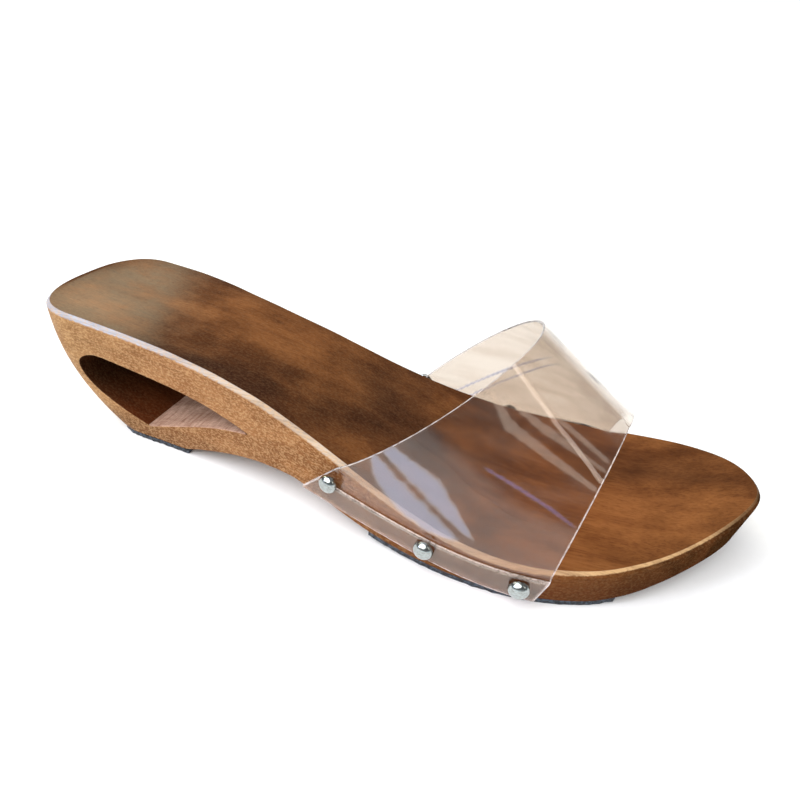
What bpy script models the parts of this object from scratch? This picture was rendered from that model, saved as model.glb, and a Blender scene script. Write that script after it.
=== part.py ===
"""A right-foot wooden sole sandal: a carved hardwood wedge with a cut-out heel, black rubber treads,
and one arched band of clear vinyl nailed to the sides of the sole.

The toe points along +X, the medial side is +Y, and the treads rest on z = 0. Lengths are in metres.
Shapes are laid out from the back of the heel, on the line from the heel's middle to the toe, and the
finished sandal is then moved so that the middle of its box stands over the origin.
"""

import math

import bmesh
import bpy
import numpy as np
from mathutils import Matrix, Vector

# Driving sizes of the sole.
LENGTH = 0.258               # back of the heel to the tip of the toe
BALL_WIDTH = 0.082           # across the ball of the foot
HEEL_HEIGHT = 0.050          # floor to the back of the heel seat
CHAMFER = 0.0015             # flat worn round the upper edge
LOWER_EASE = 0.0010          # softening of the lower edge
FOOTBED_DISH = 0.0008        # hollow of the footbed at its widest
HEEL_ROUND = 0.0205          # length of the heel's rounded end
HEEL_SQUARENESS = 2.6        # of that rounded end: 2 is an ellipse, more is boxier
HEEL_RAKE = 0.0230           # how far the tread starts in front of the heel seat
HEEL_SWEEP = 2.5             # how late in its drop the heel's back curves forward
TOE_UNDERCUT = 0.0020        # how far the toe's lower edge stays behind its tip
TOE_START = 0.8              # share of the length where that undercut begins
HEEL_MIDDLE = -0.0020        # sideways place of the heel's backmost point

# Driving sizes of the treads.
RUBBER = 0.0018              # thickness of both rubber sheets
HEEL_TREAD_END = 0.064       # front edge of the heel's rubber
FORE_TREAD_START = 0.143     # back edge of the forefoot's rubber
FORE_TREAD_END = 0.231       # front edge of the forefoot's rubber, on its middle line
FORE_TREAD_BOW = 0.010       # how far the sides of that front edge fall back

# Driving sizes of the band and its nails.
BAND_WALL = 0.0010           # thickness of the vinyl
HEM_DEPTH = 0.0085           # height of the doubled hem
FOLD_DROP = 0.0006           # how far the rounded fold hangs below the hem's inner face
CREST_BACK = 0.0690          # floor to the underside of the arch at its back edge
CREST_FRONT = 0.0460         # floor to the underside of the arch at its front edge
BAND_MIDDLE = -0.0110        # sideways place of the arch's crest
NAIL_HEAD = 0.0032           # radius of the domed head
NAIL_DOME = 0.0023           # height of the dome
NAIL_RIM = 0.0004            # upright rim below the dome
NAIL_SHANK = 0.0009          # radius of the shank
NAIL_DEPTH = 0.0095          # depth of the shank in the wood
NAIL_POINT = 0.0020          # length of the shank's point
GAP = 0.0003                 # space between pieces that touch

# Outline and footbed of the sole. Columns: place along LENGTH, lateral and medial edge as shares of
# BALL_WIDTH from the middle line, and the footbed's height as a share of HEEL_HEIGHT. The heel's round
# end is worked out from HEEL_ROUND, so the first rows hold the width that it rounds off.
SECTIONS = (
    # along, lateral, medial, height
    (0.00, -0.370, 0.345, 1.000),
    (0.08, -0.370, 0.361, 0.956),
    (0.16, -0.374, 0.354, 0.920),
    (0.24, -0.386, 0.315, 0.878),
    (0.32, -0.410, 0.278, 0.820),
    (0.40, -0.448, 0.260, 0.738),
    (0.48, -0.496, 0.266, 0.616),
    (0.56, -0.546, 0.300, 0.480),
    (0.64, -0.586, 0.352, 0.367),
    (0.70, -0.598, 0.390, 0.314),
    (0.76, -0.581, 0.416, 0.292),
    (0.82, -0.526, 0.424, 0.300),
    (0.88, -0.430, 0.404, 0.346),
    (0.93, -0.306, 0.349, 0.414),
    (0.97, -0.177, 0.250, 0.490),
    (1.00, 0.012, 0.012, 0.560),
)

# Underside of the wood. Columns: place along LENGTH, and lift above the treads as a share of HEEL_HEIGHT.
UNDERSIDE = (
    # along, lift
    (0.00, 0.000),
    (0.24, 0.000),
    (0.27, 0.045),
    (0.31, 0.105),
    (0.35, 0.155),
    (0.39, 0.187),
    (0.43, 0.196),
    (0.47, 0.160),
    (0.51, 0.100),
    (0.56, 0.042),
    (0.61, 0.012),
    (0.66, 0.000),
    (0.82, 0.000),
    (0.86, 0.024),
    (0.90, 0.076),
    (0.94, 0.126),
    (1.00, 0.190),
)

# Cut-out through the heel, as two runs that meet at sharp corners. Columns: place along LENGTH, and height
# as a share of HEEL_HEIGHT.
CUTOUT_ROOF_AND_BACK = (
    # along, height
    (0.365, 0.446),
    (0.300, 0.540),
    (0.205, 0.616),
    (0.135, 0.662),
    (0.094, 0.650),
    (0.079, 0.580),
    (0.086, 0.465),
    (0.115, 0.335),
    (0.150, 0.240),
    (0.187, 0.170),
)
CUTOUT_FLOOR = (
    # along, height
    (0.187, 0.170),
    (0.255, 0.288),
    (0.305, 0.376),
    (0.365, 0.446),
)

# Band edges on each side. Columns: side, the hem's fold at its back and front, and the places where the
# band's back and front edges cross the sole's upper edge, all as shares of LENGTH.
BAND_SIDES = {
    # side: fold_back, fold_front, edge_back, edge_front
    "lateral": (0.459, 0.766, 0.509, 0.778),
    "medial": (0.474, 0.815, 0.540, 0.829),
}
FOLD_HEIGHTS = (0.262, 0.076)        # back and front height of the fold, as shares of HEEL_HEIGHT
CREST_PLACES = (0.700, 0.822)        # back and front end of the crest, as shares of LENGTH
ARCH_SQUARENESS = {                  # 2 is an ellipse, more is boxier; at the back and at the front
    "lateral": (1.86, 2.13),
    "medial": (2.14, 1.47),
}

# Nails of one side. Columns: place along the hem from back to front, and height as a share of HEM_DEPTH.
NAILS = (
    # along, height
    (0.045, 0.95),
    (0.525, 0.45),
    (0.910, 0.50),
)

# Fineness of the meshes.
STATIONS = 72                # steps along the sole
WALL_ROWS = 7                # steps down its side
FOOTBED_ROWS = 8             # steps across the footbed
FOOT_ROWS = 2                # steps across the wood's underside
TREAD_ROWS = 6               # steps across a tread
TREAD_COLUMNS = 20           # steps along a tread
CUTOUT_STEPS = (30, 8)       # steps along the cut-out's roof and back, and along its floor
BAND_COLUMNS = 18            # steps along the band
HEM_ROWS = 2                 # steps up the hem
ARCH_ROWS = 13               # steps from the hem to the crest
LINE_STEPS = 60              # points that measure the length of a band section
NAIL_SIDES = 20              # sides of a nail's round head
HOLE_SIDES = 14              # sides of the hole it takes
DOME_STEPS = 5               # steps up its dome
SMOOTH_ANGLE = math.radians(32)


def smooth_curve(places, values):
    """Return a function through the given points that bends evenly: a natural cubic spline."""
    places = np.asarray(places, float)
    values = np.asarray(values, float)
    steps = np.diff(places)
    count = len(places)
    matrix = np.eye(count)
    right = np.zeros(count)
    for k in range(1, count - 1):
        matrix[k, k - 1] = steps[k - 1]
        matrix[k, k] = 2 * (steps[k - 1] + steps[k])
        matrix[k, k + 1] = steps[k]
        right[k] = 6 * ((values[k + 1] - values[k]) / steps[k] - (values[k] - values[k - 1]) / steps[k - 1])
    bends = np.linalg.solve(matrix, right)

    def curve(place):
        k = int(np.clip(np.searchsorted(places, place) - 1, 0, count - 2))
        a = (places[k + 1] - place) / steps[k]
        b = 1 - a
        cubic = ((a ** 3 - a) * bends[k] + (b ** 3 - b) * bends[k + 1]) * steps[k] ** 2 / 6
        return a * values[k] + b * values[k + 1] + cubic

    return curve


def steady_curve(places, values):
    """Return a function through the given points that never overshoots, so that flats stay flat."""
    places = np.asarray(places, float)
    values = np.asarray(values, float)
    steps = np.diff(places)
    slopes = np.diff(values) / steps
    tangents = np.zeros(len(places))
    for k in range(1, len(places) - 1):
        if slopes[k - 1] * slopes[k] > 0:
            tangents[k] = 2 * slopes[k - 1] * slopes[k] / (slopes[k - 1] + slopes[k])
    tangents[-1] = slopes[-1]

    def curve(place):
        k = int(np.clip(np.searchsorted(places, place) - 1, 0, len(steps) - 1))
        u = min(1.0, max(0.0, (place - places[k]) / steps[k]))
        rise = values[k + 1] - values[k]
        entry = steps[k] * tangents[k]
        leave = steps[k] * tangents[k + 1]
        return values[k] + u * (entry + u * (3 * rise - 2 * entry - leave + u * (entry + leave - 2 * rise)))

    return curve


def column(table, index):
    """Return one column of a table."""
    return [row[index] for row in table]


def toe_measure(along):
    """Turn a place along the sole into a measure that runs round the toe evenly."""
    return math.sqrt(max(0.0, 1.0 - along))


TOE_MEASURES = [toe_measure(along) for along in reversed(column(SECTIONS, 0))]
LATERAL_CURVE = smooth_curve(TOE_MEASURES, column(SECTIONS, 1)[::-1])
MEDIAL_CURVE = smooth_curve(TOE_MEASURES, column(SECTIONS, 2)[::-1])
HEIGHT_CURVE = smooth_curve(column(SECTIONS, 0), column(SECTIONS, 3))
UNDER_CURVE = steady_curve(column(UNDERSIDE, 0), column(UNDERSIDE, 1))


def footbed_height(x):
    """Height of the footbed's rim at x."""
    return HEEL_HEIGHT * HEIGHT_CURVE(x / LENGTH)


def underside_height(x):
    """Height of the wood's underside at x."""
    return RUBBER + GAP + HEEL_HEIGHT * UNDER_CURVE(x / LENGTH)


def heel_back(drop):
    """Place of the heel's back at a drop of 0 at the footbed to 1 at the tread."""
    return HEEL_RAKE * drop ** HEEL_SWEEP


def toe_front(drop):
    """Place of the toe's front at the same drop."""
    return LENGTH - TOE_UNDERCUT * drop


def side_edge(side, x, drop=0.0):
    """Sideways place of the sole's wall at x."""
    toe_share = (x / LENGTH - TOE_START) / (1 - TOE_START)
    along = (x + (LENGTH - toe_front(drop)) * min(1.0, max(0.0, toe_share))) / LENGTH
    curve = LATERAL_CURVE if side == "lateral" else MEDIAL_CURVE
    y = BALL_WIDTH * curve(toe_measure(along))
    rounded = min(1.0, max(0.0, (x - heel_back(drop)) / HEEL_ROUND))
    fullness = (1 - (1 - rounded) ** HEEL_SQUARENESS) ** (1 / HEEL_SQUARENESS)
    return HEEL_MIDDLE + (y - HEEL_MIDDLE) * fullness


def station(k, start, end):
    """Place number k of a run that is closely stepped at both ends."""
    return start + (end - start) * (1 - math.cos(math.pi * k / STATIONS)) / 2


def contour(drop):
    """Points round the sole's wall at one drop: out along the lateral side, back along the medial."""
    places = [station(k, heel_back(drop), toe_front(drop)) for k in range(STATIONS + 1)]
    lateral = [Vector((x, side_edge("lateral", x, drop))) for x in places]
    medial = [Vector((x, side_edge("medial", x, drop))) for x in places[1:-1]]
    return lateral + medial[::-1]


def inset(loop, distance):
    """Move the points of a closed outline inward by a distance."""
    moved = []
    for k, point in enumerate(loop):
        along = loop[(k + 1) % len(loop)] - loop[k - 1]
        inward = Vector((-along.y, along.x)).normalized()
        moved.append(point + inward * distance)
    return moved


def new_object(name, vertices, faces, material, location=None):
    """Make an object from vertices and faces, with all faces pointing out."""
    mesh = bpy.data.meshes.new(name)
    mesh.from_pydata([tuple(v) for v in vertices], [], faces)
    work = bmesh.new()
    work.from_mesh(mesh)
    bmesh.ops.remove_doubles(work, verts=work.verts, dist=1e-7)
    bmesh.ops.dissolve_degenerate(work, edges=work.edges, dist=1e-7)
    bmesh.ops.recalc_face_normals(work, faces=work.faces)
    work.to_mesh(mesh)
    work.free()
    mesh.materials.append(material)
    mesh.shade_smooth()
    mesh.set_sharp_from_angle(angle=SMOOTH_ANGLE)
    part = bpy.data.objects.new(name, mesh)
    if location is not None:
        part.matrix_world = location
    bpy.context.collection.objects.link(part)
    return part


def cut(part, name, vertices, faces, location=None):
    """Cut a closed shape out of a part."""
    mesh = bpy.data.meshes.new(name)
    mesh.from_pydata([tuple(v) for v in vertices], [], faces)
    work = bmesh.new()
    work.from_mesh(mesh)
    bmesh.ops.recalc_face_normals(work, faces=work.faces)
    work.to_mesh(mesh)
    work.free()
    cutter = bpy.data.objects.new(name, mesh)
    if location is not None:
        cutter.matrix_world = location
    bpy.context.collection.objects.link(cutter)
    cutter.display_type = "WIRE"
    cutter.hide_render = True
    boolean = part.modifiers.new(name, "BOOLEAN")
    boolean.operation = "DIFFERENCE"
    boolean.solver = "EXACT"
    boolean.object = cutter
    return cutter


def plain_material(name, colour, roughness, metallic=0.0, transmission=0.0):
    """Make a material with one colour."""
    material = bpy.data.materials.new(name)
    material.use_nodes = True
    shader = material.node_tree.nodes["Principled BSDF"]
    shader.inputs["Base Color"].default_value = (*colour, 1.0)
    shader.inputs["Roughness"].default_value = roughness
    shader.inputs["Metallic"].default_value = metallic
    shader.inputs["Transmission Weight"].default_value = transmission
    return material


def stained_wood():
    """Brown-stained hardwood with a satin varnish."""
    return plain_material("stained_wood", (0.22, 0.09, 0.03), 0.4)


def black_rubber():
    """Black rubber sheet."""
    return plain_material("black_rubber", (0.02, 0.02, 0.024), 0.8)


def clear_vinyl():
    """Clear, slightly tinted vinyl sheet."""
    return plain_material("clear_vinyl", (0.93, 0.90, 0.95), 0.05, transmission=1.0)


def nickel_plate():
    """Polished nickel-plated steel."""
    return plain_material("nickel_plate", (0.75, 0.76, 0.76), 0.15, metallic=1.0)


def outward(side):
    """Return the sign of y that points away from the sole on a side."""
    return -1.0 if side == "lateral" else 1.0


def make_wooden_sole(material):
    """The carved block: footbed, chamfered rim, raked walls and arched underside."""
    rim = inset(contour(0.0), CHAMFER)
    rows = [[(p.x, p.y, footbed_height(p.x)) for p in rim]]
    for k in range(WALL_ROWS + 1):
        drop = k / WALL_ROWS
        row = []
        for p in contour(drop):
            high = footbed_height(p.x) - CHAMFER
            low = underside_height(p.x) + LOWER_EASE
            row.append((p.x, p.y, high + (low - high) * drop))
        rows.append(row)
    foot = inset(contour(1.0), LOWER_EASE)
    rows.append([(p.x, p.y, underside_height(p.x)) for p in foot])

    around = 2 * STATIONS
    vertices = [v for row in rows for v in row]
    faces = []
    for r in range(len(rows) - 1):
        for k in range(around):
            near = (k + 1) % around
            faces.append((r * around + k, r * around + near, (r + 1) * around + near, (r + 1) * around + k))

    faces += cap(vertices, 0, FOOTBED_ROWS, FOOTBED_DISH)
    faces += cap(vertices, (len(rows) - 1) * around, FOOT_ROWS, 0.0)
    return new_object("wooden_sole", vertices, faces, material)


def cap(vertices, first, strips, dish):
    """Close a contour that starts at a vertex with strips across it, hollowed by a dish."""
    around = 2 * STATIONS
    lines = []
    for k in range(STATIONS + 1):
        left = first + k
        right = first + (around - k) % around
        if left == right:
            lines.append([left] * (strips + 1))
            continue
        a = Vector(vertices[left])
        b = Vector(vertices[right])
        line = [left]
        for s in range(1, strips):
            share = s / strips
            point = a.lerp(b, share)
            point.z -= dish * (1 - (2 * share - 1) ** 2) * (b - a).length / BALL_WIDTH
            line.append(len(vertices))
            vertices.append(tuple(point))
        line.append(right)
        lines.append(line)
    faces = []
    for k in range(STATIONS):
        for s in range(strips):
            corners = (lines[k][s], lines[k][s + 1], lines[k + 1][s + 1], lines[k + 1][s])
            faces.append(tuple(dict.fromkeys(corners)))
    return faces


def cutout_outline():
    """Points round the heel's cut-out in the side view."""
    points = []
    for run, steps in zip((CUTOUT_ROOF_AND_BACK, CUTOUT_FLOOR), CUTOUT_STEPS):
        knots = [Vector((along * LENGTH, height * HEEL_HEIGHT)) for along, height in run]
        lengths = [0.0]
        for a, b in zip(knots, knots[1:]):
            lengths.append(lengths[-1] + (b - a).length)
        across = smooth_curve(lengths, [p.x for p in knots])
        up = smooth_curve(lengths, [p.y for p in knots])
        for k in range(steps):
            place = lengths[-1] * k / steps
            points.append((across(place), up(place)))
    return points


def cut_heel(sole):
    """Saw the cut-out straight through the heel from side to side."""
    outline = cutout_outline()
    count = len(outline)
    vertices = [(x, -BALL_WIDTH, z) for x, z in outline] + [(x, BALL_WIDTH, z) for x, z in outline]
    faces = [tuple(range(count)), tuple(range(2 * count - 1, count - 1, -1))]
    for k in range(count):
        near = (k + 1) % count
        faces.append((k, near, count + near, count + k))
    return cut(sole, "heel_cutout", vertices, faces)


def make_tread(name, material, start, end, bow=0.0):
    """A rubber sheet under the wood. The sides of its front edge fall back by the bow."""
    upper = []
    for j in range(TREAD_ROWS + 1):
        share = j / TREAD_ROWS
        front = end - bow * (2 * share - 1) ** 2
        for k in range(TREAD_COLUMNS + 1):
            x = start + (front - start) * (1 - math.cos(math.pi / 2 * k / TREAD_COLUMNS))
            y = mix((side_edge("lateral", x, 1.0), side_edge("medial", x, 1.0)), share)
            upper.append((x, y, underside_height(x) - GAP))
    vertices = upper + [(x, y, z - RUBBER) for x, y, z in upper]
    below = len(upper)
    wide = TREAD_COLUMNS + 1
    faces = []
    for j in range(TREAD_ROWS):
        for k in range(TREAD_COLUMNS):
            a = j * wide + k
            quad = (a, a + 1, a + wide + 1, a + wide)
            faces.append(quad)
            faces.append(tuple(below + v for v in reversed(quad)))
    border = list(range(wide))
    border += [j * wide + TREAD_COLUMNS for j in range(1, TREAD_ROWS + 1)]
    border += [TREAD_ROWS * wide + k for k in range(TREAD_COLUMNS - 1, -1, -1)]
    border += [j * wide for j in range(TREAD_ROWS - 1, 0, -1)]
    for k, a in enumerate(border):
        b = border[(k + 1) % len(border)]
        faces.append((a, below + a, below + b, b))
    return new_object(name, vertices, faces, material)


def mix(pair, share):
    """Value between the two of a pair."""
    return pair[0] + (pair[1] - pair[0]) * share


def band_edges(side, t):
    """The fold and the crossing of the sole's upper edge at t, 0 at the band's back and 1 at its front."""
    fold_back, fold_front, edge_back, edge_front = BAND_SIDES[side]
    fold_x = LENGTH * mix((fold_back, fold_front), t)
    fold_z = HEEL_HEIGHT * mix(FOLD_HEIGHTS, t)
    edge_x = LENGTH * mix((edge_back, edge_front), t)
    edge_z = footbed_height(edge_x) - CHAMFER
    return fold_x, fold_z, edge_x, edge_z


def band_on_wall(side, t, height):
    """Inner point of the band at a height above its fold, against the sole's wall."""
    fold_x, fold_z, edge_x, edge_z = band_edges(side, t)
    x = mix((fold_x, edge_x), height / (edge_z - fold_z))
    y = side_edge(side, x) + GAP * outward(side)
    return Vector((x, y, fold_z + height))


def band_on_arch(side, t, rise):
    """Inner point of the band on its arch, at a rise of 0 at the sole's edge to 1 at the crest."""
    lateral_x = band_edges("lateral", t)[2]
    medial_x = band_edges("medial", t)[2]
    edge_z = band_edges(side, t)[3]
    angle = math.pi / 2 * rise
    across = angle if side == "lateral" else math.pi - angle
    bow = LENGTH * mix(CREST_PLACES, t) - (lateral_x + medial_x) / 2
    x = mix((lateral_x, medial_x), (1 - math.cos(across)) / 2) + bow * math.sin(across)
    power = 2 / mix(ARCH_SQUARENESS[side], t)
    y = side_edge(side, x) + GAP * outward(side)
    y = mix((BAND_MIDDLE, y), max(0.0, math.cos(angle)) ** power)
    z = mix((edge_z, mix((CREST_BACK, CREST_FRONT), t)), math.sin(angle) ** power)
    return Vector((x, y, z))


def band_half(side, t):
    """Inner points of one half of a section, evenly spaced from the fold up to the crest."""
    line = [band_on_wall(side, t, 0.0)]
    line += [band_on_arch(side, t, k / LINE_STEPS) for k in range(LINE_STEPS + 1)]
    lengths = [0.0]
    for a, b in zip(line, line[1:]):
        lengths.append(lengths[-1] + (b - a).length)
    distances = [HEM_DEPTH * k / HEM_ROWS for k in range(HEM_ROWS)]
    distances += [mix((HEM_DEPTH, lengths[-1]), k / ARCH_ROWS) for k in range(ARCH_ROWS + 1)]
    columns = [np.interp(distances, lengths, [p[axis] for p in line]) for axis in range(3)]
    return [Vector(point) for point in zip(*columns)]


def make_clear_band(material):
    """The upper: an arched vinyl sheet, doubled along both hems."""
    sections = []
    for k in range(BAND_COLUMNS + 1):
        t = k / BAND_COLUMNS
        sections.append(band_half("lateral", t) + band_half("medial", t)[-2::-1])
    inner = np.array([[tuple(p) for p in section] for section in sections])
    normals = np.cross(np.gradient(inner, axis=1), np.gradient(inner, axis=0))
    normals /= np.linalg.norm(normals, axis=2, keepdims=True)
    middle = inner.mean(axis=1, keepdims=True)
    if np.sum(normals * (inner - middle)) < 0:
        normals = -normals

    last = inner.shape[1] - 1
    vertices = []
    rings = []
    for k in range(BAND_COLUMNS + 1):
        ring = {}
        for r in range(last + 1):
            point = inner[k, r]
            step = min(r, last - r)
            layers = {"in": point}
            if step <= HEM_ROWS:
                layers["double"] = point + normals[k, r] * 2 * BAND_WALL
            if step >= HEM_ROWS:
                layers["out"] = point + normals[k, r] * BAND_WALL
            if step == 0:
                layers["fold"] = point + normals[k, r] * BAND_WALL - np.array((0, 0, FOLD_DROP))
            for layer, place in layers.items():
                ring[layer, r] = len(vertices)
                vertices.append(place)
        rings.append(ring)

    outline = [("in", r) for r in range(last + 1)]
    outline += [("fold", last)]
    outline += [("double", r) for r in range(last, last - HEM_ROWS - 1, -1)]
    outline += [("out", r) for r in range(last - HEM_ROWS, HEM_ROWS - 1, -1)]
    outline += [("double", r) for r in range(HEM_ROWS, -1, -1)]
    outline += [("fold", 0)]
    faces = []
    for a, b in zip(rings, rings[1:]):
        for k, here in enumerate(outline):
            there = outline[(k + 1) % len(outline)]
            faces.append((a[here], a[there], b[there], b[here]))
    for ring in (rings[0], rings[-1]):
        faces += band_end(ring, last)
    return new_object("clear_band", vertices, faces, material)


def band_end(ring, last):
    """Faces that close the band's sheet along its back or front edge."""
    faces = []
    for r in range(last):
        doubled = r < HEM_ROWS or r >= last - HEM_ROWS
        layer = "double" if doubled else "out"
        corners = [ring["in", r], ring["in", r + 1]]
        if doubled and r + 1 == HEM_ROWS:
            corners.append(ring["out", r + 1])
        corners += [ring[layer, r + 1], ring[layer, r]]
        if doubled and r == last - HEM_ROWS:
            corners.append(ring["out", r])
        faces.append(tuple(corners))
    for r in (0, last):
        faces.append((ring["in", r], ring["double", r], ring["fold", r]))
    return faces


def turned(profile, segments):
    """Vertices and faces of a shape turned round the z axis, from a profile that starts and ends on it."""
    vertices = [(0.0, 0.0, profile[0][1])]
    for radius, height in profile[1:-1]:
        for k in range(segments):
            angle = 2 * math.pi * k / segments
            vertices.append((radius * math.cos(angle), radius * math.sin(angle), height))
    vertices.append((0.0, 0.0, profile[-1][1]))
    rings = len(profile) - 2
    faces = []
    for k in range(segments):
        near = (k + 1) % segments
        faces.append((0, 1 + k, 1 + near))
        for r in range(rings - 1):
            low = 1 + r * segments
            high = low + segments
            faces.append((low + k, low + near, high + near, high + k))
        top = 1 + (rings - 1) * segments
        faces.append((top + near, top + k, len(vertices) - 1))
    return vertices, faces


def nail_place(side, along, height):
    """Frame of a nail: its origin on the sole's wall, and its z axis pointing out of the wood."""
    point = band_on_wall(side, along, height * HEM_DEPTH)
    point.y = side_edge(side, point.x)
    step = BAND_WALL
    rise = side_edge(side, point.x + step) - side_edge(side, point.x - step)
    out = Vector((-rise, 2 * step, 0.0)).normalized() * outward(side)
    up = Vector((0.0, 0.0, 1.0))
    rotation = Matrix((up.cross(out), up, out)).transposed()
    return Matrix.Translation(point) @ rotation.to_4x4()


def nail_profile():
    """Profile of a nail from its point to the top of its dome; height 0 is the wood's wall."""
    seat = 2 * GAP + 2 * BAND_WALL
    profile = [(0.0, -NAIL_DEPTH)]
    profile.append((NAIL_SHANK, NAIL_POINT - NAIL_DEPTH))
    profile.append((NAIL_SHANK, seat))
    profile.append((NAIL_HEAD, seat))
    for k in range(DOME_STEPS):
        angle = math.pi / 2 * k / DOME_STEPS
        profile.append((NAIL_HEAD * math.cos(angle), seat + NAIL_RIM + NAIL_DOME * math.sin(angle)))
    profile.append((0.0, seat + NAIL_RIM + NAIL_DOME))
    return profile


def hole_profile():
    """Profile of the hole that a nail takes in the vinyl and the wood."""
    radius = NAIL_SHANK + GAP
    end = NAIL_DEPTH + GAP
    outside = 4 * BAND_WALL
    return [(0.0, -end), (radius, -end), (radius, outside), (0.0, outside)]


def make_nails(material, sole, band):
    """Domed nails through both hems, each in its own hole."""
    objects = []
    for side in BAND_SIDES:
        for number, (along, height) in enumerate(NAILS, 1):
            place = nail_place(side, along, height)
            vertices, faces = turned(nail_profile(), NAIL_SIDES)
            objects.append(new_object(f"nail_{side}_{number}", vertices, faces, material, place))
            vertices, faces = turned(hole_profile(), HOLE_SIDES)
            objects.append(cut(sole, f"pilot_{side}_{number}", vertices, faces, place))
            objects.append(cut(band, f"punch_{side}_{number}", vertices, faces, place))
    return objects


def stand_over_origin(objects):
    """Move everything sideways so that the middle of the sandal's box is over the origin."""
    bpy.context.view_layer.update()
    corners = []
    for part in objects:
        if not part.hide_render:
            corners += [part.matrix_world @ Vector(v.co) for v in part.data.vertices]
    middle_x = (min(c.x for c in corners) + max(c.x for c in corners)) / 2
    middle_y = (min(c.y for c in corners) + max(c.y for c in corners)) / 2
    for part in objects:
        part.location.x -= middle_x
        part.location.y -= middle_y
    return middle_x, middle_y


def main():
    """Model the sandal."""
    for thing in list(bpy.data.objects):
        bpy.data.objects.remove(thing, do_unlink=True)

    rubber = black_rubber()
    sole = make_wooden_sole(stained_wood())
    cutter = cut_heel(sole)
    heel = make_tread("heel_outsole", rubber, HEEL_RAKE, HEEL_TREAD_END)
    fore = make_tread("forefoot_outsole", rubber, FORE_TREAD_START, FORE_TREAD_END, FORE_TREAD_BOW)
    band = make_clear_band(clear_vinyl())
    nails = make_nails(nickel_plate(), sole, band)
    middle = stand_over_origin([sole, cutter, heel, fore, band] + nails)
    print("moved by", [round(-1000 * distance, 2) for distance in middle], "mm")


main()
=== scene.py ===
# %% [markdown]
# # A wooden sole sandal with a clear band
#
# The real sandal is one block of hardwood, carved, stained and varnished. Two thin sheets of black rubber
# are glued under it. One strip of clear vinyl is arched over the toes, and three domed nails hold each of
# its hems to the side of the wood.
#
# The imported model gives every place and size. Its solids have flat facets, so this lesson makes each piece
# again with a much finer skin, lays it exactly where its solid is, and gives it a finish of shader nodes.

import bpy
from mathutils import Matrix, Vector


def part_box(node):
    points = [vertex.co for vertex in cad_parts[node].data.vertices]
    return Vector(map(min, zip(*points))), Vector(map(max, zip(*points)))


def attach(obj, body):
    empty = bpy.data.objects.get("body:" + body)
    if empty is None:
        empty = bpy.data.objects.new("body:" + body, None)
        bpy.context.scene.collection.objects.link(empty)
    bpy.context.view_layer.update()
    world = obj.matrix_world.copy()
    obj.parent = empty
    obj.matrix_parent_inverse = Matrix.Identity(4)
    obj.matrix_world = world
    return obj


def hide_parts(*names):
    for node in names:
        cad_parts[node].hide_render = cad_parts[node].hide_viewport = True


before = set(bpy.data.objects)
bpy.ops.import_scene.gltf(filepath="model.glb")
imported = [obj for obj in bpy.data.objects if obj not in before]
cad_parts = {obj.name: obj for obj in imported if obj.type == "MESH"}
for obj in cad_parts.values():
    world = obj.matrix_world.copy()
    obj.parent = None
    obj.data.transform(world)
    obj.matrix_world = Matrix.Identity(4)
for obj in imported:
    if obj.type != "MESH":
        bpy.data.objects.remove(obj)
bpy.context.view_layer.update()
print("packed nodes:", sorted(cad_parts))

# %% Bring in Blender's modules
import math

import bmesh
import bpy
import numpy as np
from mathutils import Matrix, Vector, noise
from mathutils.kdtree import KDTree

MM = 0.001

# %% [markdown]
# ## Smooth lines from a few sizes
#
# A carver draws the outline of a sole from a handful of widths, and the eye joins them with an even line.
# A spline does the same. The widths, heights and lifts below are shares of three sizes: the length, the
# width at the ball and the height of the heel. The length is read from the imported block.

# %% Sizes of the sole
sole_low, sole_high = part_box("wooden_sole")
LENGTH = sole_high.x - sole_low.x
BALL_WIDTH = 82 * MM
HEEL_HEIGHT = 50 * MM
CHAMFER = 1.5 * MM
LOWER_EASE = 1.0 * MM
FOOTBED_DISH = 0.8 * MM
HEEL_ROUND = 20.5 * MM
HEEL_SQUARENESS = 2.6
HEEL_RAKE = 23 * MM
HEEL_SWEEP = 2.5
HEEL_MIDDLE = -2 * MM
TOE_UNDERCUT = 2 * MM
TOE_START = 0.8
RUBBER = 1.8 * MM
GAP = 0.3 * MM
print("the sole is", round(LENGTH / MM, 1), "mm long")

# %% Outline and footbed, from the heel to the toe
SECTIONS = (
    # place along, lateral edge, medial edge, height
    (0.00, -0.370, 0.345, 1.000),
    (0.08, -0.370, 0.361, 0.956),
    (0.16, -0.374, 0.354, 0.920),
    (0.24, -0.386, 0.315, 0.878),
    (0.32, -0.410, 0.278, 0.820),
    (0.40, -0.448, 0.260, 0.738),
    (0.48, -0.496, 0.266, 0.616),
    (0.56, -0.546, 0.300, 0.480),
    (0.64, -0.586, 0.352, 0.367),
    (0.70, -0.598, 0.390, 0.314),
    (0.76, -0.581, 0.416, 0.292),
    (0.82, -0.526, 0.424, 0.300),
    (0.88, -0.430, 0.404, 0.346),
    (0.93, -0.306, 0.349, 0.414),
    (0.97, -0.177, 0.250, 0.490),
    (1.00, 0.012, 0.012, 0.560),
)
UNDERSIDE = (
    # place along, lift above the treads
    (0.00, 0.000),
    (0.24, 0.000),
    (0.27, 0.045),
    (0.31, 0.105),
    (0.35, 0.155),
    (0.39, 0.187),
    (0.43, 0.196),
    (0.47, 0.160),
    (0.51, 0.100),
    (0.56, 0.042),
    (0.61, 0.012),
    (0.66, 0.000),
    (0.82, 0.000),
    (0.86, 0.024),
    (0.90, 0.076),
    (0.94, 0.126),
    (1.00, 0.190),
)
print(len(SECTIONS), "sections and", len(UNDERSIDE), "lifts")


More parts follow.
